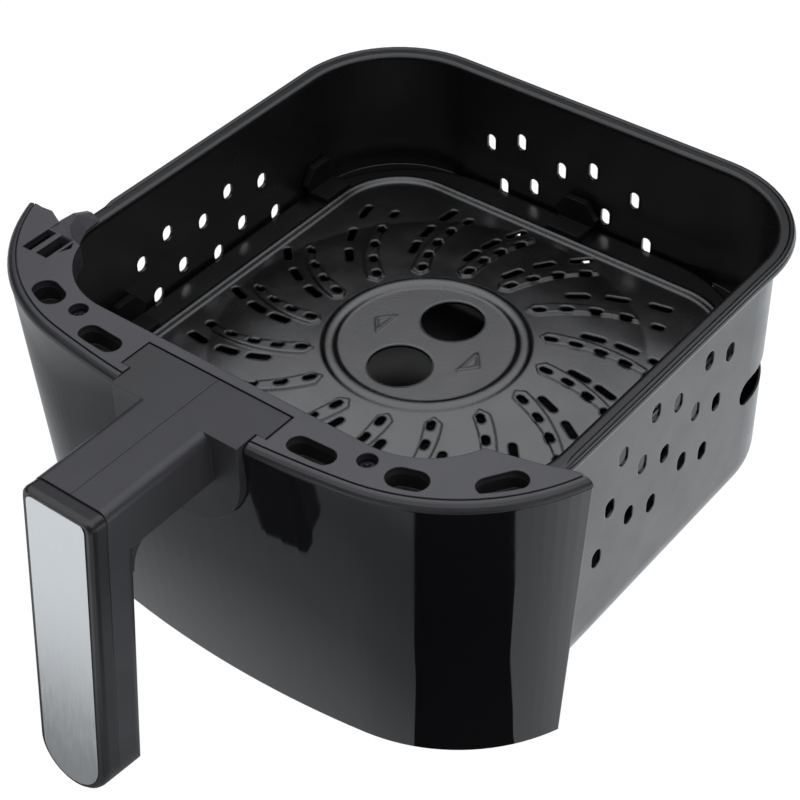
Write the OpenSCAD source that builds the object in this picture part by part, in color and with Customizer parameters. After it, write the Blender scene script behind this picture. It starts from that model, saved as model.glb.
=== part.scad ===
/* [Basket] */
// Outside width of the square basket walls
basket_w = 214; // [200:1:240]
// Height of the rim above the surface the drawer stands on
basket_h = 118.5; // [105:0.5:145]
// Outside corner radius of the walls
corner_r = 42.5; // [36:0.5:50]
// Thickness of the coated steel sheet
wall_t = 1; // [0.8:0.1:1.4]
// Outside radius between the walls and the floor
floor_r = 16.5; // [10:0.5:20]
// Reach of the flat lip beyond the wall
rim_lip = 4; // [3:0.5:6]
// Radius of the rolled bead at the lip's edge
bead_r = 2.4; // [1.8:0.2:3]

/* [Air holes] */
// Width of one upright air hole
hole_w = 5.8; // [4:0.2:7]
// Length of one upright air hole
hole_l = 8.2; // [7:0.2:10]
// Spacing of the holes along a row
hole_pitch = 36; // [30:1:38]
// Drop from one row to the next
row_drop = 19.7; // [16:0.1:20]
// Sideways step from one row to the next
row_shift = 7; // [4:0.5:9]
// Height of the corner air slots
corner_slot_h = 12; // [8:1:14]

/* [Crisper plate] */
// Height of the corner ledges that carry the plate
ledge_z = 63.6; // [55:0.2:70]
// Gap between the plate's straight edges and the walls
plate_gap = 1.4; // [1:0.1:3]
// Corner radius of the plate
plate_r = 57; // [50:1:62]
// Thickness of the pressed sheet
plate_t = 1.4; // [1:0.1:1.6]
// Width of the flat margin along the straight edges
margin_w = 13.6; // [12:0.2:18]
// Depth of the plate's floor below the margin, at its outer edge
dish_d = 1.2; // [0.9:0.1:2]
// Rise of the plate's floor from there to its middle
dome_h = 4.1; // [3:0.1:5]
// Radius of the finger holes
finger_r = 12.55; // [10:0.05:13.5]
// Distance from the plate's centre to each finger hole
finger_y = 17; // [15:0.1:18]
// Radius of the raised ring round the finger holes, at its crest
ring_r = 38.1; // [37.5:0.1:38.5]

/* [Front] */
// Distance from the basket's centre to the trim's front line
front_y = 131.8; // [128:0.2:140]
// Radius of the long middle curve of the front
mid_arc_r = 403; // [350:1:480]
// Radius of the tighter curve at each side
side_arc_r = 76; // [72:1:82]
// Height of the trim's top above the rim
trim_rise = 9.8; // [8:0.2:12]
// Thickness of the trim's top
trim_t = 3.1; // [2.4:0.1:4]
// Reach of the trim's edge band beyond its front line
band_w = 3.8; // [3:0.1:5]
// Thickness of the gloss panel
panel_t = 2.5; // [2:0.1:3]
// How far the panel runs back from its top to its bottom
panel_lean = 7.5; // [4:0.5:9]

/* [Handle] */
// Width of the arm and grip
grip_w = 32; // [28:1:36]
// Height of the arm
arm_h = 22; // [20:0.5:25]
// Distance from the basket's centre to the grip's front, at rim height
grip_y = 192.5; // [180:0.5:205]
// Thickness of the rear part of the grip
grip_t = 13; // [12:0.1:15]
// Thickness of the front cover
cover_t = 7.2; // [6:0.1:9]
// Length of the grip, down from the arm's top
grip_l = 125.5; // [110:0.5:127]
// Lean of the grip away from the basket, in degrees
grip_lean = 6; // [3:0.5:8]
// Width of the metal inlay
inlay_w = 26; // [20:0.5:26]
// Half width of the shield at the handle's root
shield_r = 28; // [26:0.5:30]

/* [Hidden] */
$fn = 48;
gap = 0.3;
seam = 0.8;
half_w = basket_w / 2;
centre = half_w - corner_r;
inner_half = half_w - wall_t;
flare_r = 2.1;
trim_top = basket_h + trim_rise;
bead_low = basket_h - 2 * bead_r;
// first high hole and first low hole of the top row
high_x = -30.5;
low_x = -46;
high_z = basket_h - 25;
stagger = 6;
// corner ledges, and the air slots under them
ledge_t = 1.2;
ledge_reach = 11.7;
slot_top = ledge_z - ledge_t - 0.9;
// crisper plate levels
plate_low = ledge_z + gap;
dish_top = plate_low + plate_t;
margin_top = dish_top + dish_d;
plate_half = inner_half - plate_gap;
step_half = plate_half - margin_w;
step_r = 29;
lap = 2.4;
centre_r = 42;
centre_top = dish_top + dome_h;
// spiral arms of one quarter: start angle; radius of the first short slot, their pitch and number;
// the same for the long slots; angle between the two rows
arms = [[-5.7, [49.5, 10.3, 4], [57.5, 14.1, 3], 8], [16.8, [48.8, 9.6, 4], [61.3, 11.6, 3], 6.6],
    [39.3, [48.5, 9.6, 5], [65.5, 12.5, 3], 7.3], [61.8, [49, 10.8, 5], [68.5, 14.2, 3], 9.3]];
arm_start = 48.5;
arm_twist = [0.24, 0.0028];
slot_w = 3.3;
short_slot = 5.4;
long_slot = 10;

// ---- shared outlines ----
module rounded_square(half, r) {
    square([2 * half, 2 * (half - r)], center = true);
    square([2 * (half - r), 2 * half], center = true);
    for (x = [-1, 1], y = [-1, 1])
        translate([x * (half - r), y * (half - r)]) circle(r, $fn = 96);
}
// Carries a section round a rounded square: the section's x is measured from the corner centres
module sweep_square(half, r) {
    mid = half - r;
    for (i = [0:3]) rotate(90 * i) {
        translate([mid, mid, 0]) rotate_extrude(angle = 90, $fn = 96) children();
        translate([mid, mid, 0]) rotate([90, 0, 0]) linear_extrude(2 * mid) children();
    }
}
module obround(length, width) {
    square([length - width, width], center = true);
    for (s = [-1, 1]) translate([s * (length - width) / 2, 0]) circle(width / 2);
}

// ---- basket ----
module quarter_ring(r, t) {
    difference() {
        circle(r, $fn = 96);
        circle(r - t, $fn = 96);
        translate([-r - 1, -r - 1]) square([r + 1, 2 * r + 2]);
        translate([-1, -r - 1]) square([r + 2, r + 1]);
    }
}
module pan_section() {
    bend = corner_r - floor_r;
    lip_x = corner_r - wall_t + flare_r;
    square([bend, wall_t]);
    translate([bend, floor_r]) rotate(-90) quarter_ring(floor_r, wall_t);
    translate([corner_r - wall_t, floor_r]) square([wall_t, basket_h - floor_r - flare_r]);
    translate([lip_x, basket_h - flare_r]) rotate(90) quarter_ring(flare_r, wall_t);
    translate([lip_x, basket_h - wall_t]) square([corner_r + rim_lip - lip_x, wall_t]);
    translate([corner_r + rim_lip, basket_h - bead_r]) circle(bead_r);
}
module wall_holes() {
    for (row = [0:2]) {
        z = high_z - row * row_drop;
        x = row * row_shift;
        for (k = [0:1]) translate([high_x + x + k * hole_pitch, z]) rotate(90) obround(hole_l, hole_w);
        for (k = [0:2]) translate([low_x + x + k * hole_pitch, z - stagger])
            rotate(90) obround(hole_l, hole_w);
    }
}
module corner_slot() {
    mid_z = slot_top - corner_slot_h / 2;
    translate([centre, centre, 0]) {
        rotate_extrude(angle = 90, $fn = 96)
            translate([corner_r - 4 * wall_t, slot_top - corner_slot_h])
                square([8 * wall_t, corner_slot_h]);
        translate([0, corner_r + 4, mid_z]) rotate([90, 0, 0]) cylinder(h = 8, d = corner_slot_h);
        translate([corner_r - 4, 0, mid_z]) rotate([0, 90, 0]) cylinder(h = 8, d = corner_slot_h);
    }
}
module corner_ledge() {
    // the part of the corner that lies beyond a straight edge across it
    across = centre * sqrt(2) + corner_r - wall_t - ledge_reach;
    translate([0, 0, ledge_z - ledge_t]) linear_extrude(ledge_t) intersection() {
        translate([centre, centre]) circle(corner_r - wall_t / 2, $fn = 96);
        rotate(45) translate([across, -half_w]) square([half_w, 2 * half_w]);
    }
}
module basket() {
    color([0.07, 0.07, 0.075]) difference() {
        union() {
            sweep_square(half_w, corner_r) pan_section();
            translate([-centre, -centre, 0]) cube([2 * centre, 2 * centre, wall_t]);
            for (i = [0:3]) rotate(90 * i) corner_ledge();
        }
        for (a = [0, 90, -90]) rotate(a) translate([0, half_w + 3, 0]) rotate([90, 0, 0])
            linear_extrude(3 + 3 * wall_t) wall_holes();
        for (i = [0:3]) rotate(90 * i) corner_slot();
    }
}

// ---- crisper plate ----
module step_section() {
    // edge of the plate's floor: floor, 45 degree step, raised bead and the start of the margin
    under = plate_t * tan(22.5);
    translate([step_r, 0]) polygon([
        [-dish_d - 3, plate_low], [-dish_d + under, plate_low], [under, margin_top - plate_t],
        [lap, margin_top - plate_t], [lap, margin_top], [2, margin_top], [1.5, margin_top + 0.5],
        [0.8, margin_top + 0.7], [0.1, margin_top + 0.5], [-0.2, margin_top],
        [-dish_d, dish_top], [-dish_d - 3, dish_top]]);
}
function arm_angle(start, r) = let (d = r - arm_start) start - arm_twist[0] * d - arm_twist[1] * d * d;
function arm_slope(r) = atan(r * (arm_twist[0] + 2 * arm_twist[1] * (r - arm_start)) * PI / 180);
function polar(r, a) = [r * cos(a), r * sin(a)];
// A row of slots, one for each step of [first radius, pitch, number]
module slot_row(start, row, length) {
    for (j = [0:row[2] - 1]) {
        r = row[0] + j * row[1];
        a = arm_angle(start, r);
        translate(polar(r, a)) rotate(a - arm_slope(r)) obround(length, slot_w);
    }
}
module plate_slots() {
    for (q = [0:3], arm = arms) {
        slot_row(arm[0] + 90 * q, arm[1], short_slot);
        slot_row(arm[0] + 90 * q + arm[3], arm[2], long_slot);
    }
}
// One raised rib under the row of short slots: round at its inner end, running out at its outer end
rib_h = 0.9;
rib_w = 6.6;
rib_start = 44.2;
module rib(start, end) {
    steps = 10;
    function half_width(s) = rib_w / 2 * min(1, sqrt(max(0, 1 - pow(1 - min(1, s * 8), 2)))) * (1 - 0.6 * s * s);
    function edge(s, side) = let (r = rib_start + (end - rib_start) * s * (0.6 + 0.4 * s), a = arm_angle(start, r))
        polar(r, a) + side * half_width(s) * polar(1, a + 90 - arm_slope(r));
    polygon(concat([for (i = [0:steps]) edge(i / steps, -1)],
        [for (i = [steps:-1:1]) edge(i / steps, 1)]));
}
// The floor between the middle and the step: a shallow cone of sheet, raised by up
module floor_cone(up, thick) {
    cone_r = step_half - dish_d - 4;
    rotate_extrude($fn = 96) polygon([[0, centre_top - thick + up], [centre_r, centre_top - thick + up],
        [cone_r, dish_top - thick + up], [cone_r, dish_top + up], [centre_r, centre_top + up],
        [0, centre_top + up]]);
}
ring_h = 1.7;
ring_half = 3.3;
// Half an embossed ring's height profile, so that the ring is hollow underneath
module ring_profile(half, h) {
    steps = 10;
    polygon([for (i = [0:steps]) let (s = 2 * i / steps - 1) [half * s, h * (1 - pow(abs(s), 3))]]);
}
module arrow_mark() {
    difference() {
        polygon([[19.5, 7], [19.5, -7], [25.5, 0]]);
        polygon([[20.5, 4.7], [20.5, -4.7], [24.1, 0]]);
    }
}
module crisper_plate() {
    floor_half = step_half - dish_d - 3;
    color([0.16, 0.16, 0.17]) difference() {
        union() {
            sweep_square(step_half, step_r) step_section();
            translate([0, 0, plate_low]) linear_extrude(plate_t) difference() {
                rounded_square(floor_half, step_r - dish_d - 3);
                circle(floor_half - 1.5, $fn = 96);
            }
            floor_cone(0, plate_t);
            translate([0, 0, margin_top - plate_t]) linear_extrude(plate_t) difference() {
                rounded_square(plate_half, plate_r);
                rounded_square(step_half + lap, step_r + lap);
            }
            // turned-down edge that stands on the corner ledges
            translate([0, 0, plate_low]) linear_extrude(margin_top - plate_t - plate_low) difference() {
                rounded_square(plate_half, plate_r);
                rounded_square(plate_half - plate_t, plate_r - plate_t);
            }
            translate([0, 0, centre_top]) rotate_extrude($fn = 96)
                translate([ring_r, 0]) ring_profile(ring_half, ring_h);
            translate([0, 0, centre_top]) linear_extrude(0.6)
                for (side = [0, 180]) rotate(side) arrow_mark();
            intersection() {
                floor_cone(rib_h, rib_h + plate_t / 2);
                translate([0, 0, plate_low]) linear_extrude(2 * dome_h)
                    for (q = [0:3], arm = arms) rib(arm[0] + 90 * q + 1, arm[2][0] + 2 * arm[2][1]);
            }
        }
        translate([0, 0, centre_top - plate_t - 0.01]) rotate_extrude($fn = 96)
            translate([ring_r, 0]) ring_profile(ring_half - plate_t, ring_h);
        translate([0, 0, plate_low - 1]) linear_extrude(plate_t + dome_h + 4) plate_slots();
        for (y = [-1, 1]) translate([0, y * finger_y, plate_low - 1])
            cylinder(h = plate_t + dome_h + 4, r = finger_r, $fn = 96);
        for (b = bumper_places) translate([b[0], b[1], 0]) rotate(b[2]) translate(
            [-stem_w / 2, -stem_in - stem_t, margin_top - 5]) cube([stem_w, stem_t, 10]);
    }
}

// ---- silicone bumpers clipped over the plate's edge ----
bumper_side_y = 60;
bumper_places = [[0, plate_half, 0], [0, -plate_half, 180], [-plate_half, bumper_side_y, 90],
    [-plate_half, -bumper_side_y, 90], [plate_half, bumper_side_y, -90],
    [plate_half, -bumper_side_y, -90]];
bumper_w = 20;
bumper_h = 12.4;
bumper_t = 2.6;
wall_gap = 0.7;
foot_t = 1.8;
pad_t = 1;
stem_w = 12;
stem_t = 3;
stem_in = 5;
fit_gap = 0.1;
module bumper(i) {
    b = bumper_places[i];
    w = bumper_w / 2;
    under = margin_top - plate_t;
    color([0.05, 0.05, 0.05]) translate([b[0], b[1], 0]) rotate(b[2]) {
        // hexagonal tab standing on the plate's edge
        translate([0, -bumper_t + fit_gap, margin_top + fit_gap]) rotate([90, 0, 180])
            linear_extrude(bumper_t + plate_gap - wall_gap - fit_gap) polygon([[-w + 2, 0], [w - 2, 0],
                [w, bumper_h * 0.45], [w - 5, bumper_h], [-w + 5, bumper_h], [-w, bumper_h * 0.45]]);
        // foot that lies on the margin up to its bead
        translate([-w + 2, -margin_w + lap, margin_top + fit_gap])
            cube([2 * w - 4, margin_w - lap - bumper_t + fit_gap, foot_t]);
        // stem through the plate and the pad under it
        translate([-stem_w / 2 + fit_gap, -stem_in - stem_t + fit_gap, under - fit_gap])
            cube([stem_w - 2 * fit_gap, stem_t - 2 * fit_gap, plate_t + 2 * fit_gap]);
        translate([-w + 4, -stem_in - stem_t - 1.5, under - pad_t - fit_gap])
            cube([2 * w - 8, stem_t + 2, pad_t]);
    }
}

// ---- the front's plan curve: a long arc in the middle that turns into a tighter arc at each side ----
mid_x = 65.6;
tip_y = 52.5 - front_y;
mid_a = asin(mid_x / mid_arc_r);
mid_c = mid_arc_r - front_y;
side_cx = (mid_arc_r - side_arc_r) * sin(mid_a);
side_cy = mid_c - (mid_arc_r - side_arc_r) * cos(mid_a);
function on_mid(d, a) = [(mid_arc_r + d) * sin(a), mid_c - (mid_arc_r + d) * cos(a)];
function on_side(d, a) = [side_cx + (side_arc_r + d) * sin(a), side_cy - (side_arc_r + d) * cos(a)];
function tip_a(d) = acos((side_cy - tip_y) / (side_arc_r + d));
function half_line(d, n) = concat(
    [for (i = [0:n]) on_mid(d, mid_a * i / n)],
    [for (i = [1:2 * n]) on_side(d, mid_a + (tip_a(d) - mid_a) * i / (2 * n))]);
// The whole curve, moved outward by d, from the left tip to the right one
function front_line(d, n = 10) = let (h = half_line(d, n))
    concat([for (i = [len(h) - 1:-1:1]) [-h[i].x, h[i].y]], h);
// The area behind that curve, carried on behind the tips by back
module front_area(d, back = 0) {
    end = on_side(d, tip_a(d));
    polygon(concat(front_line(d), back > 0 ? [[end.x, tip_y + back], [-end.x, tip_y + back]] : []));
}
// A solid through such areas, one for each [offset, height]
module front_loft(levels, back = 0) {
    slice = 0.01;
    hull() for (p = levels) translate([0, 0, p[1]]) linear_extrude(slice) front_area(p[0], back);
}

// ---- top trim ----
tip = on_side(0, tip_a(0));
inner_y = 109.5;
inner_x = 60;
inner_r = 34;
skirt_t = 2;
root_half = 32;
root_back = 114.3;
root_step = 127.5;
screw_x = 65;
screw_y = 115.4;
recess_r = 3.6;
recess_d = 4.6;
cup_r = 5;
cup_h = 6.2;
groove_w = 0.6;
edge_lap = 1;
module inner_edge(d) {
    // the opening above the basket: a flat front edge with a round corner at each side
    low = -inner_y + inner_r;
    translate([-inner_x, -inner_y - d]) square([2 * inner_x, inner_r + d]);
    translate([-inner_x - inner_r - d, low]) square([2 * (inner_x + inner_r + d), 40]);
    for (x = [-1, 1]) translate([x * inner_x, low]) circle(inner_r + d, $fn = 96);
}
module root_cut(d) {
    translate([-root_half - d, -root_step]) square([2 * (root_half + d), root_step - root_back + d]);
    translate([-shield_r - d, -front_y - 20]) square([2 * (shield_r + d), front_y + 21 - root_step]);
}
module vent_slots() {
    for (x = [-1, 1]) {
        translate([x * 47.6, -122.5]) rotate(x * 3) obround(18.5, 8.5);
        translate([x * 80.6, -114.7]) rotate(x * 18) obround(15, 10);
    }
    translate([105.8, -98]) rotate(57) obround(18, 9);
}
// Open slot beside the wing and the two pockets next to it
module wing_pockets() {
    translate([-108.2, -101.2]) square([4.4, 13.2]);
    translate([-101.4, -101]) square([5.6, 13.5]);
    polygon([[-94.8, -96], [-94.8, -88.2], [-92.7, -91.5]]);
}
module trim_plan() {
    difference() {
        polygon(concat(front_line(-edge_lap), [[tip.x - 4, tip.y - 0.5], [110, -83.5], [92, -88],
            [-92, -88], [-95.6, -87], [-108.2, -87], [-108.2, -82.3], [-115.2, -79],
            [4 - tip.x, tip.y - 0.2]]));
        inner_edge(0);
        root_cut(seam);
        vent_slots();
        wing_pockets();
    }
}
// Tongue that runs from the left wing onto the rim and thins out along it
module wing_tongue() {
    z = basket_h + gap;
    sections = [[-87.8, [[-108.2, 0], [-108.2, 9], [-96, 9], [-95.6, 0]]],
        [-80, [[-109.8, 0], [-109.8, 8.2], [-105.5, 7.4], [-101.6, 0.2]]],
        [-72, [[-111.6, 0], [-111.6, 6], [-109.6, 6], [-105.6, 0.2]]],
        [-64, [[-112.8, 0], [-112.8, 2], [-110.5, 2.2], [-106.4, 0.2]]]];
    for (i = [0:2]) hull() for (s = [sections[i], sections[i + 1]])
        translate([0, s[0], z]) rotate([90, 0, 0]) linear_extrude(0.01) polygon(s[1]);
}
// Parting groove and rounded band outside the trim's face
module trim_edge() {
    difference() {
        front_loft([[band_w, trim_top - trim_t], [band_w - 0.2, trim_top - 2.2],
            [band_w - 0.8, trim_top - 1.3], [2, trim_top - 0.6], [groove_w, trim_top - 0.25]]);
        translate([0, 0, trim_top - 2 * trim_t]) linear_extrude(3 * trim_t) front_area(-2, 9);
        translate([0, 0, trim_top - 1]) linear_extrude(2) front_area(groove_w, 9);
        translate([-shield_r - seam, -front_y - 10, trim_top - 2 * trim_t])
            cube([2 * (shield_r + seam), 20, 3 * trim_t]);
    }
}
module top_trim() {
    color([0.17, 0.17, 0.18]) difference() {
        union() {
            translate([0, 0, trim_top - trim_t]) linear_extrude(trim_t) trim_plan();
            // strip from the face's edge out to the groove
            translate([0, 0, trim_top - trim_t]) linear_extrude(trim_t) difference() {
                front_area(0);
                front_area(-2, 9);
                root_cut(seam);
            }
            trim_edge();
            translate([0, 0, basket_h + gap]) linear_extrude(trim_rise - gap - trim_t) difference() {
                inner_edge(skirt_t);
                inner_edge(0);
                translate([-half_w, -88]) square([2 * half_w, 100]);
            }
            wing_tongue();
            // floor under the wing's pockets, and the wall between them
            translate([0, 0, basket_h + gap]) linear_extrude(1.2) intersection() {
                front_area(-2, 10);
                translate([-111, -104]) square([16.2, 17]);
            }
            translate([-103.8, -101.5, basket_h + gap]) cube([2.4, 14, trim_rise - gap - 0.5]);
            // cups for the screws
            for (x = [-1, 1]) translate([x * screw_x, -screw_y, trim_top - cup_h])
                cylinder(h = cup_h - 0.5, r = cup_r);
        }
        for (x = [-1, 1]) translate([x * screw_x, -screw_y, trim_top - recess_d]) {
            cylinder(h = recess_d + 1, r = recess_r);
            translate([0, 0, -trim_t]) cylinder(h = trim_t + 1, r = 1.6);
        }
    }
}

// ---- gloss panel ----
panel_top = trim_top - trim_t - 0.2;
panel_edge = band_w - 0.3;
// How far the panel's outside has run back at height z
function lean_at(z) = panel_lean * (panel_top - z) / panel_top;
lug_x = 48;
lug_w = 12;
lug_y = -front_y + 13.4;
frame_z = 2;
frame_t = 2.5;
low_round = 0.5;
module panel_shell() {
    difference() {
        front_loft([[panel_edge - 0.4, panel_top], [panel_edge, panel_top - 0.4],
            [panel_edge - lean_at(low_round), low_round], [panel_edge - panel_lean - low_round, 0]]);
        front_loft([[panel_edge - panel_t - lean_at(panel_top + 1), panel_top + 1],
            [panel_edge - panel_t - lean_at(-1), -1]], 9);
    }
}
module shield_plan(d) {
    round_z = trim_top - 15.3;
    translate([0, round_z]) circle(shield_r + d, $fn = 96);
    translate([-shield_r - d, round_z]) square([2 * (shield_r + d), 30]);
}
module front_panel() {
    color([0.03, 0.03, 0.035]) difference() {
        union() {
            panel_shell();
            // lugs that are screwed to the inner frame
            for (x = [-1, 1]) translate([x * lug_x - lug_w / 2, lug_y - 5, frame_z + frame_t + 0.1])
                cube([lug_w, 10, 2.4]);
        }
        translate([0, -front_y + 10, 0]) rotate([90, 0, 0]) linear_extrude(20) shield_plan(gap);
        for (x = [-1, 1]) translate([x * lug_x, lug_y, frame_z]) cylinder(h = 8, r = 1.3);
    }
}

// ---- inner frame behind the panel ----
frame_gap = 0.4;
back_t = 2.2;
rib_t = 2;
rim_half = half_w + rim_lip + bead_r;
module frame_plan(d) {
    difference() {
        polygon(concat(front_line(panel_edge - panel_lean - panel_t - frame_gap - d),
            [[side_cx + side_arc_r - 20, tip_y], [20 - side_cx - side_arc_r, tip_y]]));
        rounded_square(half_w + frame_gap, corner_r + frame_gap);
    }
}
module inner_frame() {
    wall_h = bead_low - gap - frame_z;
    color([0.1, 0.1, 0.1]) difference() {
        union() {
            translate([0, 0, frame_z]) linear_extrude(frame_t) frame_plan(0);
            // wall that follows the basket
            translate([0, 0, frame_z]) linear_extrude(wall_h) intersection() {
                rounded_square(half_w + frame_gap + back_t, corner_r + frame_gap + back_t);
                frame_plan(0);
            }
            // ribs between that wall and the panel
            translate([0, 0, frame_z]) linear_extrude(wall_h) intersection() {
                frame_plan(0);
                for (x = [-88, -36, 36, 88]) translate([x - rib_t / 2, -front_y]) square([rib_t, 60]);
            }
            // screw towers under the trim
            for (x = [-1, 1]) {
                translate([0, 0, frame_z]) linear_extrude(trim_top - cup_h - frame_z) intersection() {
                    frame_plan(0);
                    translate([x * screw_x - 4, -front_y]) square([8, front_y - rim_half - frame_gap]);
                }
                translate([x * screw_x, -screw_y, basket_h + gap])
                    cylinder(h = trim_rise - gap - cup_h, r = 3.4);
            }
        }
        for (x = [-1, 1]) {
            translate([x * screw_x, -screw_y, basket_h - 3]) cylinder(h = 20, r = 1.25);
            translate([x * lug_x, lug_y, frame_z - 1]) cylinder(h = 8, r = 1.6);
            translate([x * lug_x, lug_y, frame_z - 1]) cylinder(h = 2.4, r = 3.2);
        }
        translate([-bracket_w / 2 - 0.4, -front_y, bracket_low - 0.4])
            cube([bracket_w + 0.8, 30, basket_h]);
    }
}

// ---- handle ----
low_r = 12;
rear_r = 4.5;
elbow_r = 13;
cover_top_y = grip_y - trim_rise * sin(grip_lean);
module grip_frame() {
    // the grip's own frame: origin at the top of its front face, leaning out at the bottom
    translate([0, -cover_top_y, trim_top]) rotate([-grip_lean, 0, 0]) children();
}
module arm_section() {
    low = trim_top - arm_h;
    r = 3.6;
    w = grip_w / 2;
    translate([-w, low + 2]) square([grip_w, arm_h - r - 2]);
    translate([-w + r, trim_top - r - 1]) square([grip_w - 2 * r, r + 1]);
    translate([-w + 2, low]) square([grip_w - 4, 3]);
    for (s = [-1, 1]) {
        translate([s * (w - r), trim_top - r]) circle(r);
        translate([s * (w - 2), low + 2]) circle(2);
    }
}
// Front view of the grip, hanging from y = 0 and fully round at its bottom
module grip_front(w, top_r, length) {
    r = w / 2;
    translate([-r, -length + r]) square([w, length - r - top_r]);
    translate([-r + top_r, -top_r - 1]) square([w - 2 * top_r, top_r + 1]);
    for (s = [-1, 1]) translate([s * (r - top_r), -top_r]) circle(top_r);
    translate([0, -length + r]) circle(r, $fn = 96);
}
module grip_back() {
    back = cover_t + grip_t;
    grip_frame() intersection() {
        translate([0, back, 0]) rotate([90, 0, 0]) linear_extrude(grip_t)
            grip_front(grip_w, 3.6, grip_l);
        translate([0, 0, -grip_l - 1]) linear_extrude(grip_l + 2) {
            translate([-grip_w / 2, cover_t]) square([grip_w, grip_t - rear_r]);
            translate([-grip_w / 2 + rear_r, cover_t + 1]) square([grip_w - 2 * rear_r, grip_t - 1]);
            for (s = [-1, 1]) translate([s * (grip_w / 2 - rear_r), back - rear_r]) circle(rear_r);
        }
        rotate([90, 0, 90]) translate([0, 0, -grip_w]) linear_extrude(2 * grip_w) {
            translate([cover_t, -grip_l + low_r]) square([grip_t, grip_l]);
            translate([cover_t, -grip_l]) square([grip_t - low_r, low_r + 1]);
            translate([back - low_r, -grip_l + low_r]) circle(low_r, $fn = 96);
        }
    }
}
module elbow() {
    // fillet between the arm's underside and the back of the grip
    low = trim_top - arm_h;
    back = -cover_top_y + (cover_t + grip_t) * cos(grip_lean) - arm_h * sin(grip_lean);
    translate([-grip_w / 2 + 3, 0, 0]) rotate([90, 0, 90]) linear_extrude(grip_w - 6)
        difference() {
            translate([back - 5, low - elbow_r]) square([elbow_r + 5, elbow_r + 2]);
            translate([back + elbow_r, low - elbow_r]) circle(elbow_r, $fn = 96);
        }
}
module handle_body() {
    difference() {
        union() {
            translate([0, -root_step, 0]) rotate([90, 0, 0])
                linear_extrude(cover_top_y - root_step) arm_section();
            grip_back();
            elbow();
            // shield and root block, let into the panel and the trim
            translate([0, -root_step, 0]) rotate([90, 0, 0])
                linear_extrude(shield_y - root_step) intersection() {
                    shield_plan(0);
                    translate([-shield_r, 0]) square([2 * shield_r, trim_top]);
                }
            translate([-root_half, -root_step, trim_top - root_t])
                cube([2 * root_half, root_step - root_back, root_t]);
        }
        // what lies in front of the parting plane belongs to the cover
        grip_frame() translate([-grip_w, -30, -grip_l - 10])
            cube([2 * grip_w, 30 + cover_t + 0.1, grip_l + 40]);
        core_solid(gap);
        for (z = grip_screw_z) grip_frame() translate([0, cover_t - 1, z]) rotate([-90, 0, 0])
            cylinder(h = 10, r = 1.25);
        for (x = [-1, 1]) translate([x * handle_screw_x, -root_step + 1, handle_screw_z])
            rotate([90, 0, 0]) cylinder(h = 9, r = 1.25);
    }
}
root_t = 8;
shield_y = 137;
split = 0.1;
module handle_left() {
    color([0.17, 0.17, 0.18]) intersection() {
        handle_body();
        translate([-60, -260, -60]) cube([60 - split / 2, 200, 260]);
    }
}
module handle_right() {
    color([0.17, 0.17, 0.18]) intersection() {
        handle_body();
        translate([split / 2, -260, -60]) cube([60, 200, 260]);
    }
}
cover_round = 2.8;
inlay_t = 1;
inlay_drop = 1.6;
module cover_slice(inset, y, t) {
    // the cover's outline drawn in by inset, less at its top, from y backwards
    translate([0, y + t, -inset * 0.6]) rotate([90, 0, 0]) linear_extrude(t)
        grip_front(grip_w - 2 * inset, 3, grip_l - inset * 1.6);
}
module grip_cover() {
    color([0.06, 0.06, 0.06]) grip_frame() difference() {
        hull() {
            cover_slice(0, cover_round, cover_t - cover_round);
            for (a = [30, 60, 90])
                cover_slice(cover_round * (1 - cos(90 - a)), cover_round * (1 - sin(90 - a)), 0.01);
        }
        translate([0, inlay_t, -inlay_drop]) rotate([90, 0, 0]) linear_extrude(5)
            grip_front(inlay_w + 0.2, 2.5, inlay_l + 0.2);
        for (z = grip_screw_z) translate([0, inlay_t - 0.5, z]) rotate([-90, 0, 0]) {
            cylinder(h = 2.5, r = 3.2);
            cylinder(h = cover_t, r = 1.6);
        }
    }
}
inlay_l = grip_l - inlay_drop - cover_round;
module grip_inlay() {
    color([0.75, 0.76, 0.77]) grip_frame() translate([0, inlay_t, -inlay_drop - 0.1])
        rotate([90, 0, 0]) linear_extrude(inlay_t) grip_front(inlay_w, 2.5, inlay_l);
}

// ---- steel parts and fasteners ----
core_w = 14;
core_t = 3;
core_top = bead_low - 0.5;
core_back = rim_half + 0.5;
core_low = grip_l - 20;
bracket_w = 44;
bracket_low = 62;
bracket_t = 2;
bracket_front = root_step - 0.2;
handle_screw_x = 17;
handle_screw_z = trim_top - 32;
grip_screw_z = [-34, -96];
module core_solid(d) {
    // flat bar along the arm, and the second bar it is welded to down the grip
    translate([-core_w / 2 - d, -(cover_top_y - cover_t - 3) - d, core_top - core_t - d])
        cube([core_w + 2 * d, cover_top_y - cover_t - 3 - core_back + 2 * d, core_t + 2 * d]);
    grip_frame() translate([-core_w / 2 - d, cover_t + 4 - d, -core_low - d])
        cube([core_w + 2 * d, core_t + 2 * d, core_low - 12 + 2 * d]);
}
module handle_core() {
    color([0.6, 0.6, 0.62]) difference() {
        core_solid(0);
        for (z = grip_screw_z) grip_frame() translate([0, cover_t + 2, z]) rotate([-90, 0, 0])
            cylinder(h = 10, r = 1.3);
    }
}
module handle_bracket() {
    shelf = core_top - core_t - bracket_t;
    color([0.6, 0.6, 0.62]) difference() {
        union() {
            translate([-bracket_w / 2, -half_w - bracket_t, bracket_low])
                cube([bracket_w, bracket_t, shelf + bracket_t - bracket_low]);
            translate([-bracket_w / 2, -bracket_front, shelf])
                cube([bracket_w, bracket_front - half_w, bracket_t]);
            translate([-bracket_w / 2, -bracket_front, handle_screw_z - 6])
                cube([bracket_w, bracket_t, shelf + bracket_t - handle_screw_z + 6]);
        }
        for (x = [-1, 1]) translate([x * handle_screw_x, -bracket_front - 1, handle_screw_z])
            rotate([-90, 0, 0]) cylinder(h = bracket_t + 2, r = 1.6);
    }
}
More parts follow.
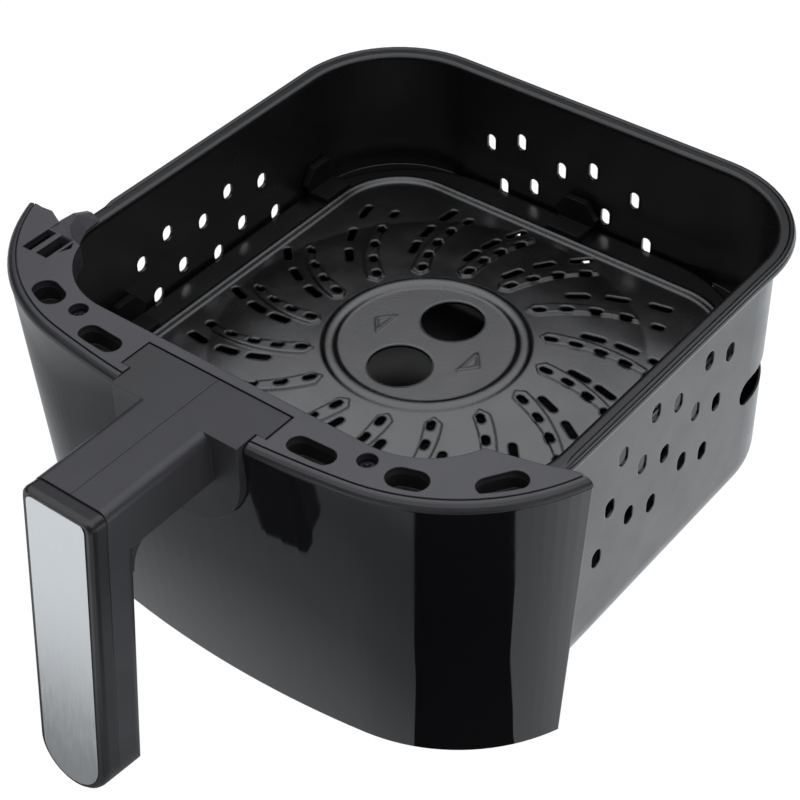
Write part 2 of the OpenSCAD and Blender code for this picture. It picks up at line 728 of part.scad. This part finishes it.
module screw(head_r, head_h, length) {
    difference() {
        cylinder(h = head_h, r = head_r);
        for (a = [0, 90]) rotate(a) translate([-head_r * 0.6, -0.5, head_h / 2])
            cube([head_r * 1.2, 1, head_h]);
    }
    translate([0, 0, -length]) cylinder(h = length, r = 1.2);
}
module trim_screws() {
    color([0.5, 0.5, 0.5]) for (x = [-1, 1])
        translate([x * screw_x, -screw_y, trim_top - recess_d]) screw(3, 1.5, 7);
}
module handle_screws() {
    color([0.5, 0.5, 0.5]) for (x = [-1, 1])
        translate([x * handle_screw_x, -bracket_front + bracket_t, handle_screw_z])
            rotate([-90, 0, 0]) screw(3.2, 2, 9);
}
module grip_screws() {
    color([0.5, 0.5, 0.5]) for (z = grip_screw_z) grip_frame()
        translate([0, inlay_t + 2, z]) rotate([90, 0, 0]) screw(2.8, 1.5, 11);
}
module panel_screws() {
    color([0.5, 0.5, 0.5]) for (x = [-1, 1])
        translate([x * lug_x, lug_y, frame_z + 1.4]) rotate([180, 0, 0]) screw(2.9, 1.3, 3.4);
}

basket();
crisper_plate();
bumper(0);  // bumper_rear
bumper(1);  // bumper_front
bumper(2);  // bumper_left_rear
bumper(3);  // bumper_left_front
bumper(4);  // bumper_right_rear
bumper(5);  // bumper_right_front
top_trim();
front_panel();
inner_frame();
handle_left();
handle_right();
grip_cover();
grip_inlay();
handle_core();
handle_bracket();
trim_screws();
handle_screws();
grip_screws();
panel_screws();
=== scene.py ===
import math

import bmesh
import bpy
from mathutils import Matrix, Vector


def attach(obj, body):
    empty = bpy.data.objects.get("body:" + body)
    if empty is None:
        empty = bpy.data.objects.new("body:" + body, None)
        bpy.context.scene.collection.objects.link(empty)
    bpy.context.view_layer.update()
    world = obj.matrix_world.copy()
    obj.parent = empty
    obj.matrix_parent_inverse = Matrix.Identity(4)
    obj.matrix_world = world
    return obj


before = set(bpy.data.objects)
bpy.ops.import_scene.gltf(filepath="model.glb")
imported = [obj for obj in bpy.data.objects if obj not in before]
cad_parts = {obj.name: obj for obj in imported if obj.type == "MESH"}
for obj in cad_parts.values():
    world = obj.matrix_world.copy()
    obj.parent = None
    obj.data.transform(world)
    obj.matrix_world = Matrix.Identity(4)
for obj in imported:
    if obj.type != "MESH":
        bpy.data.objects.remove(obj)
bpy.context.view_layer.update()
MM = 0.001

# the basket's half width, corner and rim, and the trim's rise above the rim and thickness, in mm
HALF_W = 107.0
CORNER_R = 42.5
RIM_Z = 118.5
TRIM_RISE = 9.8
TRIM_T = 3.1


# ---- shader node helpers ----
def put(tree, value, socket):
    """Feeds a socket from another socket, or sets it to a plain value."""
    if isinstance(value, bpy.types.NodeSocket):
        tree.links.new(value, socket)
    else:
        socket.default_value = value


def math_node(tree, kind, first, second):
    """A Math node's output."""
    node = tree.nodes.new("ShaderNodeMath")
    node.operation = kind
    put(tree, first, node.inputs[0])
    put(tree, second, node.inputs[1])
    return node.outputs[0]


def map_range(tree, source, start, end, low, high, kind="LINEAR"):
    """Maps a socket from start..end to low..high, and holds it there outside that range."""
    node = tree.nodes.new("ShaderNodeMapRange")
    node.interpolation_type = kind
    for key, value in (("From Min", start), ("From Max", end), ("To Min", low), ("To Max", high)):
        node.inputs[key].default_value = value
    put(tree, source, node.inputs["Value"])
    return node.outputs["Result"]


# a Mix node's two inputs and its output, for each kind of data
MIX_SOCKETS = {"RGBA": (6, 7, 2), "FLOAT": (2, 3, 0)}


def mix_node(tree, data, factor, first, second, blend="MIX"):
    """Mixes two colours or two numbers; each input is a socket or a value."""
    node = tree.nodes.new("ShaderNodeMix")
    node.data_type = data
    node.blend_type = blend
    a, b, out = MIX_SOCKETS[data]
    put(tree, factor, node.inputs["Factor"])
    put(tree, first, node.inputs[a])
    put(tree, second, node.inputs[b])
    return node.outputs[out]


def grey_ramp(tree, source, stops, low, high):
    """Grey levels by place, for stops of (place, level); the source runs from 0 at low to 1 at high."""
    ramp = tree.nodes.new("ShaderNodeValToRGB")
    while len(ramp.color_ramp.elements) < len(stops):
        ramp.color_ramp.elements.new(0.5)
    for element, (place, level) in zip(ramp.color_ramp.elements, stops):
        element.position = (place - low) / (high - low)
        element.color = (level, level, level, 1)
    put(tree, source, ramp.inputs["Fac"])
    return ramp.outputs["Color"]


class Nodes:
    """A material's node tree, with short calls for the nodes that the finishes share."""

    def __init__(self, name):
        self.mat = bpy.data.materials.new(name)
        self.mat.use_nodes = True
        self.tree = self.mat.node_tree
        self.tree.nodes.clear()
        self.out = self.add("ShaderNodeOutputMaterial")
        self.shader = self.add("ShaderNodeBsdfPrincipled")
        self.link(self.shader.outputs["BSDF"], self.out, "Surface")

    def add(self, kind):
        return self.tree.nodes.new(kind)

    def link(self, source, node, into):
        self.tree.links.new(source, node.inputs[into])

    def set(self, **values):
        for key, value in values.items():
            self.shader.inputs[key.replace("_", " ")].default_value = value

    def place(self, stretch=(1, 1, 1)):
        """Object coordinates in metres, stretched along each axis."""
        coords = self.add("ShaderNodeTexCoord")
        mapping = self.add("ShaderNodeMapping")
        mapping.inputs["Scale"].default_value = stretch
        self.link(coords.outputs["Object"], mapping, "Vector")
        return mapping.outputs["Vector"]

    def noise(self, scale, detail, rough=0.5, stretch=(1, 1, 1)):
        """A noise with about scale cells to the metre."""
        node = self.add("ShaderNodeTexNoise")
        for key, value in (("Scale", scale), ("Detail", detail), ("Roughness", rough)):
            node.inputs[key].default_value = value
        self.link(self.place(stretch), node, "Vector")
        return node.outputs["Fac"]

    def spread(self, noise, low, high, start=0.3, end=0.7):
        """Maps a noise, most of which lies between start and end, to low..high."""
        return map_range(self.tree, noise, start, end, low, high)

    def colours(self, factor, dark, light):
        """Varies the base colour between two colours."""
        mixed = mix_node(self.tree, "RGBA", factor, (*dark, 1), (*light, 1))
        self.link(mixed, self.shader, "Base Color")

    def roughness(self, noise, low, high):
        """Varies the roughness with a noise."""
        self.link(self.spread(noise, low, high), self.shader, "Roughness")

    def bump(self, height, strength, depth, edge):
        """Bump over edges that look rounded; depth and the edges' radius are in mm."""
        bevel = self.add("ShaderNodeBevel")
        bevel.samples = 6
        bevel.inputs["Radius"].default_value = edge * MM
        node = self.add("ShaderNodeBump")
        node.inputs["Strength"].default_value = strength
        node.inputs["Distance"].default_value = depth * MM
        self.link(height, node, "Height")
        self.link(bevel.outputs["Normal"], node, "Normal")
        self.link(node.outputs["Normal"], self.shader, "Normal")


# ---- finishes ----
def moulded(name, dark, light, rough, edge=0.6):
    """Moulded plastic with a fine spark-eroded grain."""
    n = Nodes(name)
    n.colours(n.spread(n.noise(scale=18, detail=4), 0, 1), dark, light)
    n.roughness(n.noise(scale=90, detail=5), rough - 0.05, rough + 0.05)
    n.bump(n.noise(scale=2600, detail=2, rough=0.6), strength=0.25, depth=0.06, edge=edge)
    return n


def trim_with_painted_shade():
    """The trim's moulded plastic, with painted shade on its outer edge below the top: a dark groove
    between two lighter beads.
    """
    n = moulded("trim_plastic_painted_shade", (0.042, 0.042, 0.048), (0.053, 0.053, 0.061), 0.42)
    split = n.add("ShaderNodeSeparateXYZ")
    n.link(n.place(), split, "Vector")
    # painted shade: heights in mm with the share of the base colour that each one shows
    low, high = 120, 130
    painted_shade_bands = [(122.5, 0.3), (125.4, 0.35), (126.0, 0.45), (126.6, 0.45), (127.0, 0.22), (127.7, 0.22),
             (128.05, 1.0)]
    height = map_range(n.tree, split.outputs["Z"], low * MM, high * MM, 0, 1)
    shade_shares = grey_ramp(n.tree, height, painted_shade_bands, low, high)
    # the tongue behind the left wing keeps the top's tone, free of the painted shade
    tongue_reach = 113.7
    tongue_front = -88.3
    across = math_node(n.tree, "ABSOLUTE", split.outputs["X"], 0)
    inside = math_node(n.tree, "LESS_THAN", across, tongue_reach * MM)
    behind = math_node(n.tree, "GREATER_THAN", split.outputs["Y"], tongue_front * MM)
    tongue = math_node(n.tree, "MULTIPLY", inside, behind)
    shade_shares = math_node(n.tree, "MAXIMUM", tongue, shade_shares)
    # multiplies the painted shade into the trim's base colour
    base = n.shader.inputs["Base Color"].links[0].from_socket
    n.link(mix_node(n.tree, "RGBA", 1, base, shade_shares, "MULTIPLY"), n.shader, "Base Color")
    return n


def nonstick(name, dark, light, rough, edge, grain=0.35, ior=1.55):
    """Sprayed non-stick coating: faint orange peel and fine speckle, more mirror-like than plastic."""
    n = Nodes(name)
    speckle = n.noise(scale=3800, detail=2, rough=0.7)
    n.colours(n.spread(speckle, 0, 1, start=0.45, end=0.75), dark, light)
    n.roughness(n.noise(scale=60, detail=5), rough - 0.04, rough + 0.05)
    n.set(IOR=ior)
    n.bump(n.noise(scale=1100, detail=3, rough=0.6), strength=grain, depth=0.08, edge=edge)
    return n


def gloss_black():
    """High gloss moulded shell: clear, with barely visible moulding waves."""
    n = Nodes("gloss_black")
    n.colours(n.noise(scale=25, detail=2), (0.0025, 0.0025, 0.003), (0.004, 0.004, 0.0048))
    n.roughness(n.noise(scale=220, detail=4), 0.03, 0.06)
    n.set(IOR=1.5)
    n.bump(n.noise(scale=22, detail=1), strength=0.05, depth=0.4, edge=0.5)
    return n


def silicone():
    """Matt black silicone."""
    n = Nodes("silicone")
    n.colours(n.noise(scale=300, detail=4), (0.0015, 0.0015, 0.0017), (0.004, 0.004, 0.0045))
    n.roughness(n.noise(scale=150, detail=4), 0.5, 0.66)
    n.set(IOR=1.3)
    n.bump(n.noise(scale=1500, detail=2), strength=0.15, depth=0.05, edge=0.8)
    return n


def brushed(name, dark, light, rough, stretch):
    """Metal brushed along the axis that stretch makes smallest: long fine scratches."""
    n = Nodes(name)
    lines = n.noise(scale=900, detail=3, rough=0.7, stretch=stretch)
    n.colours(lines, dark, light)
    n.set(Metallic=1.0)
    n.roughness(lines, rough - 0.06, rough + 0.1)
    n.bump(lines, strength=0.3, depth=0.03, edge=0.3)
    return n


FINISHES = {
    "basket": nonstick("pan_coating", (0.003, 0.003, 0.0034), (0.006, 0.006, 0.0068), rough=0.3,
                       edge=0.9),
    "crisper_plate": nonstick("plate_coating", (0.0015, 0.0015, 0.0017), (0.004, 0.004, 0.0045),
                              rough=0.24, edge=1.7, grain=0.5, ior=1.9),
    "bumper": silicone(),
    "trim": trim_with_painted_shade(),
    "handle": moulded("handle_plastic", (0.02, 0.02, 0.023), (0.027, 0.027, 0.0315), rough=0.42,
                      edge=0.5),
    "gloss": gloss_black(),
    "inner": moulded("inner_plastic", (0.006, 0.006, 0.006), (0.01, 0.01, 0.01), rough=0.55),
    "cover": moulded("cover_plastic", (0.008, 0.008, 0.009), (0.013, 0.013, 0.014), rough=0.35),
    "inlay": brushed("brushed_silver", (0.56, 0.57, 0.575), (0.72, 0.73, 0.735), rough=0.34,
                     stretch=(1, 1, 0.03)),
    "steel": brushed("zinc_plated", (0.3, 0.3, 0.31), (0.42, 0.42, 0.43), rough=0.4,
                     stretch=(0.2, 1, 1)),
    "black_steel": brushed("blackened_steel", (0.05, 0.05, 0.052), (0.09, 0.09, 0.095), rough=0.4,
                           stretch=(1, 1, 1)),
}
# the nodes that are neither bumpers nor bare steel
NODE_FINISH = {
    "basket": "basket",
    "crisper_plate": "crisper_plate",
    "top_trim": "trim",
    "front_panel": "gloss",
    "inner_frame": "inner",
    "handle_left": "handle",
    "handle_right": "handle",
    "grip_cover": "cover",
    "grip_inlay": "inlay",
    "trim_screws": "black_steel",
}


def finish_of(node):
    """The material of a CAD node."""
    if node.startswith("bumper"):
        return FINISHES["bumper"].mat
    return FINISHES[NODE_FINISH.get(node, "steel")].mat


for name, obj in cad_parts.items():
    for slot in obj.material_slots:
        slot.material = finish_of(name)


# ---- softened edges and added pieces ----
for name in ("handle_left", "handle_right", "top_trim", "grip_cover"):
    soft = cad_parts[name].modifiers.new("soft_edges", "BEVEL")
    soft.width = 0.4 * MM
    soft.segments = 2
    soft.limit_method = "ANGLE"
    soft.angle_limit = math.radians(40)


def piece(obj, finish):
    """Links a new piece to the scene, and lets it ride on the drawer."""
    obj.data.materials.append(FINISHES[finish].mat)
    bpy.context.collection.objects.link(obj)
    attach(obj, "drawer")


def mesh_object(name, bm):
    """An object with the faces that bm holds."""
    mesh = bpy.data.meshes.new(name)
    bm.to_mesh(mesh)
    bm.free()
    return bpy.data.objects.new(name, mesh)


def rim_wire():
    """Rolled edge that stands up along the rim, from the trim's left tongue round to its right tip."""
    reach = 111.6
    radius = 1.3
    top = RIM_Z + 0.7
    # each end thins to this share of the radius and drops by this much, over its last stretch
    end_share = 0.35
    end_drop = 0.9
    left_tip = -61.0
    left_full = -52.0
    right_full = -66.0
    right_tip = -75.0
    steps = 16
    bend = CORNER_R + reach - HALF_W
    flat = reach - bend
    path = [(-reach, left_tip), (-reach, left_full)]
    for quarter, x in enumerate((-flat, flat)):
        for k in range(steps + 1):
            a = math.radians(180 - 90 * quarter - 90 * k / steps)
            path.append((x + bend * math.cos(a), flat + bend * math.sin(a)))
    path += [(reach, right_full), (reach, right_tip)]
    curve = bpy.data.curves.new("rim_wire", "CURVE")
    curve.dimensions = "3D"
    curve.bevel_depth = radius * MM
    curve.bevel_resolution = 5
    curve.use_fill_caps = True
    spline = curve.splines.new("POLY")
    spline.points.add(len(path) - 1)
    for n, (point, (x, y)) in enumerate(zip(spline.points, path)):
        end = n in (0, len(path) - 1)
        z = top - radius - (end_drop if end else 0)
        point.co = (x * MM, y * MM, z * MM, 1)
        point.radius = end_share if end else 1.0
    piece(bpy.data.objects.new("rim_wire", curve), "basket")


def obround(length, width, steps=10):
    """Points round a slot that is long in its second coordinate."""
    r = width / 2
    points = []
    for side, start in ((1, 0), (-1, 180)):
        for k in range(steps + 1):
            a = math.radians(start + 180 * k / steps)
            points.append((r * math.cos(a), side * (length / 2 - r) + r * math.sin(a)))
    return points


def air_holes():
    """Each air hole's middle along its wall and its height, in three rows of two high and three low."""
    rows = 3
    first_drop = 25
    row_drop = 19.7
    row_shift = 7
    pitch = 36
    high_x = -30.5
    low_x = -46
    stagger = 6
    middles = []
    for row in range(rows):
        x = row_shift * row
        z = RIM_Z - first_drop - row_drop * row
        middles += [(high_x + x + pitch * k, z) for k in range(2)]
        middles += [(low_x + x + pitch * k, z - stagger) for k in range(3)]
    return middles


def hole_lips():
    """Pressed lips round the air holes of the rear and left walls."""
    outer = (8.4, 6.0)
    rear_opening = (8.0, 4.3)
    left_opening = (7.0, 5.6)
    bm = bmesh.new()
    for turn, opening in ((0, rear_opening), (90, left_opening)):
        spin = Matrix.Rotation(math.radians(turn), 4, "Z")
        # each ring's outline, and how far it lies out from the wall's outer face
        rings = ((outer, -1.12), (opening, -1.2), (opening, 0.2), (outer, 0.12))
        for x, z in air_holes():
            loops = []
            for size, out in rings:
                points = [Vector(((x + u) * MM, (HALF_W + out) * MM, (z + v) * MM))
                          for u, v in obround(*size)]
                loops.append([bm.verts.new(spin @ point) for point in points])
            for a, b in zip(loops, loops[1:] + loops[:1]):
                for k in range(len(a)):
                    j = (k + 1) % len(a)
                    bm.faces.new((a[k], a[j], b[j], b[k]))
    bmesh.ops.recalc_face_normals(bm, faces=bm.faces)
    piece(mesh_object("hole_lips", bm), "basket")


def well_outlines():
    """The outline and depth of each well, a little wider than the vent or slot above it."""
    spare = 0.5
    depth = 6.0
    right_depth = 5.0
    slot_depth = 5.2
    front_vents = ((47.6, -122.5, 3, 18.5, 8.5), (80.6, -114.7, 18, 15, 10))
    # each vent's middle, turn in degrees, length and width, and its well's depth
    vents = [(side * x, y, side * turn, length, width, depth)
             for side in (-1, 1) for x, y, turn, length, width in front_vents]
    vents.append((105.8, -98.0, 57, 18, 9, right_depth))
    outlines = []
    for x, y, turn, length, width, deep in vents:
        a = math.radians(turn - 90)
        outlines.append(([(x + u * math.cos(a) - v * math.sin(a), y + u * math.sin(a) + v * math.cos(a))
                          for u, v in obround(length + spare, width + spare)], deep))
    left = -108.5
    right = -103.5
    front = -101.5
    back = -87.7
    outlines.append(([(left, front), (right, front), (right, back), (left, back)], slot_depth))
    return outlines


def vent_wells():
    """Closed dark wells under the trim's vents and the slot of its left wing."""
    overlap = 0.2
    top = RIM_Z + TRIM_RISE - TRIM_T + overlap
    bm = bmesh.new()
    for outline, depth in well_outlines():
        upper = [bm.verts.new((x * MM, y * MM, top * MM)) for x, y in outline]
        lower = [bm.verts.new((x * MM, y * MM, (top - depth) * MM)) for x, y in outline]
        for k in range(len(outline)):
            j = (k + 1) % len(outline)
            bm.faces.new((upper[k], lower[k], lower[j], upper[j]))
        bm.faces.new(lower)
    obj = mesh_object("vent_wells", bm)
    shell = obj.modifiers.new("wall", "SOLIDIFY")
    shell.thickness = 0.5 * MM
    shell.offset = 0
    piece(obj, "inner")


rim_wire()
hole_lips()
vent_wells()


# ---- camera ----
def camera(azimuth, elevation, roll, place, lens):
    """A camera that looks along azimuth and down by elevation, turned about its own axis by roll."""
    a, e, r = (math.radians(v) for v in (azimuth, elevation, roll))
    level = Vector((math.cos(a), math.sin(a), 0))
    back = Vector((math.sin(a) * math.cos(e), -math.cos(a) * math.cos(e), math.sin(e)))
    upright = back.cross(level)
    right = level * math.cos(r) + upright * math.sin(r)
    up = upright * math.cos(r) - level * math.sin(r)
    cam = bpy.data.objects.new("camera", bpy.data.cameras.new("camera"))
    axes = Matrix((right, up, back)).transposed().to_4x4()
    cam.matrix_world = Matrix.Translation(place) @ axes
    cam.data.lens = lens
    cam.data.sensor_width = 36
    cam.data.sensor_fit = "HORIZONTAL"
    cam.data.clip_start = 0.01
    bpy.context.collection.objects.link(cam)
    bpy.context.scene.camera = cam


camera(azimuth=38.81, elevation=40.93, roll=-1.24, place=(0.36826, -0.47510, 0.56139), lens=89.786)


# ---- floor, world and lamps ----
def shown_share(tree, camera_share):
    """1 for glossy and transmission rays, camera_share for camera rays, 0 for the rest."""
    path = tree.nodes.new("ShaderNodeLightPath")
    share = math_node(tree, "MULTIPLY", path.outputs["Is Camera Ray"], camera_share)
    for kind in ("Is Glossy Ray", "Is Transmission Ray"):
        share = math_node(tree, "MAXIMUM", share, path.outputs[kind])
    return share


def between(tree, source, low, high):
    """1 where a socket lies between low and high, and 0 elsewhere."""
    return math_node(tree, "MULTIPLY", math_node(tree, "GREATER_THAN", source, low),
                     math_node(tree, "LESS_THAN", source, high))


def reflected_floor(tree):
    """How bright the floor looks in reflections: white near the object and far off, dimmer in a ring
    before the panel, brighter to the right, and nearly black in a wedge at the front right."""
    coords = tree.nodes.new("ShaderNodeTexCoord")
    split = tree.nodes.new("ShaderNodeSeparateXYZ")
    tree.links.new(coords.outputs["Object"], split.inputs[0])
    # levels by distance from the middle, in metres
    far = 0.4
    tones = [(0.10, 0.9), (0.13, 0.75), (0.17, 0.4), (0.215, 0.3), (0.235, 0.35), (0.28, 1.0)]
    reach = tree.nodes.new("ShaderNodeVectorMath")
    reach.operation = "LENGTH"
    tree.links.new(coords.outputs["Object"], reach.inputs[0])
    distance = math_node(tree, "DIVIDE", reach.outputs["Value"], far)
    rings = grey_ramp(tree, distance, tones, 0, far)
    # the wedge and the bright side both turn about this point
    apex_x = 0.0726
    apex_y = -0.0755
    wedge_start = math.radians(-75.7)
    wedge_end = math.radians(-25.8)
    side_end = math.radians(110)
    wedge_level = 0.04
    turn = math_node(tree, "ARCTAN2", math_node(tree, "SUBTRACT", split.outputs["Y"], apex_y),
                     math_node(tree, "SUBTRACT", split.outputs["X"], apex_x))
    wedge = between(tree, turn, wedge_start, wedge_end)
    side_tone = map_range(tree, turn, start=-0.35, end=0.35, low=0.75, high=1.3, kind="SMOOTHSTEP")
    side = math_node(tree, "MULTIPLY", between(tree, turn, wedge_end, side_end), side_tone)
    level = math_node(tree, "MAXIMUM", side, rings)
    return math_node(tree, "MULTIPLY", level, math_node(tree, "SUBTRACT", 1 + wedge_level, wedge))


def pale_floor():
    """A pale floor that looks white to the camera, and has the pattern above in reflections."""
    size = 3.0
    mesh = bpy.data.meshes.new("floor")
    mesh.from_pydata([(-size, -size, 0), (size, -size, 0), (size, size, 0), (-size, size, 0)], [],
                     [(0, 1, 2, 3)])
    floor = bpy.data.objects.new("floor", mesh)
    floor.location.z = -0.4 * MM
    bpy.context.collection.objects.link(floor)
    n = Nodes("floor")
    n.set(Base_Color=(0.82, 0.82, 0.82, 1), Roughness=0.9)
    glossy_ray = n.add("ShaderNodeLightPath").outputs["Is Glossy Ray"]
    seen = (1.03, 1.03, 1.03, 1)
    reflected = (0.95, 0.985, 1.02, 1)
    glow = n.add("ShaderNodeEmission")
    n.link(mix_node(n.tree, "RGBA", glossy_ray, seen, reflected), glow, "Color")
    n.link(mix_node(n.tree, "FLOAT", glossy_ray, 1.0, reflected_floor(n.tree)), glow, "Strength")
    mix = n.add("ShaderNodeMixShader")
    n.link(shown_share(n.tree, 0.97), mix, "Fac")
    n.link(n.shader.outputs["BSDF"], mix, 1)
    n.link(glow.outputs["Emission"], mix, 2)
    n.link(mix.outputs["Shader"], n.out, "Surface")
    mesh.materials.append(n.mat)


def white_world(ambient):
    """White behind the object; reflections see it brighter above than near the horizon."""
    world = bpy.data.worlds.new("studio")
    bpy.context.scene.world = world
    world.use_nodes = True
    tree = world.node_tree
    tree.nodes.clear()
    coords = tree.nodes.new("ShaderNodeTexCoord")
    split = tree.nodes.new("ShaderNodeSeparateXYZ")
    tree.links.new(coords.outputs["Generated"], split.inputs[0])
    sky = map_range(tree, split.outputs["Z"], start=0.57, end=0.655, low=0.01, high=1.55,
                    kind="SMOOTHSTEP")
    # glossy rays see the sky, camera and transmission rays plain white, the rest the ambient level
    glossy_ray = tree.nodes.new("ShaderNodeLightPath").outputs["Is Glossy Ray"]
    shown = tree.nodes.new("ShaderNodeBackground")
    shown.inputs["Color"].default_value = (0.97, 0.985, 1.02, 1)
    put(tree, mix_node(tree, "FLOAT", glossy_ray, 1.0, sky), shown.inputs["Strength"])
    lit = tree.nodes.new("ShaderNodeBackground")
    lit.inputs["Color"].default_value = (0.98, 0.985, 1.0, 1)
    lit.inputs["Strength"].default_value = ambient
    mix = tree.nodes.new("ShaderNodeMixShader")
    tree.links.new(shown_share(tree, 1.0), mix.inputs["Fac"])
    tree.links.new(lit.outputs["Background"], mix.inputs[1])
    tree.links.new(shown.outputs["Background"], mix.inputs[2])
    out = tree.nodes.new("ShaderNodeOutputWorld")
    tree.links.new(mix.outputs["Shader"], out.inputs["Surface"])


def softbox(name, place, target, width, height, power):
    """A rectangular lamp that shines on target and doesn't show in reflections."""
    data = bpy.data.lights.new(name, "AREA")
    data.shape = "RECTANGLE"
    data.size = width
    data.size_y = height
    data.energy = power
    lamp = bpy.data.objects.new(name, data)
    lamp.location = place
    lamp.visible_glossy = False
    lamp.rotation_euler = (Vector(target) - Vector(place)).to_track_quat("-Z", "Y").to_euler()
    bpy.context.collection.objects.link(lamp)


pale_floor()
white_world(ambient=0.5)
softbox("top", place=(0.1, 0.3, 1.3), target=(0, 0, 0.05), width=1.4, height=1.0, power=8)
softbox("left", place=(-1.1, -0.3, 0.8), target=(0, 0, 0.05), width=0.9, height=0.9, power=1.5)
softbox("right", place=(0.8, 0.0, 0.55), target=(0, 0, 0.08), width=0.6, height=0.7, power=3.6)

bpy.context.scene.view_settings.view_transform = "Standard"
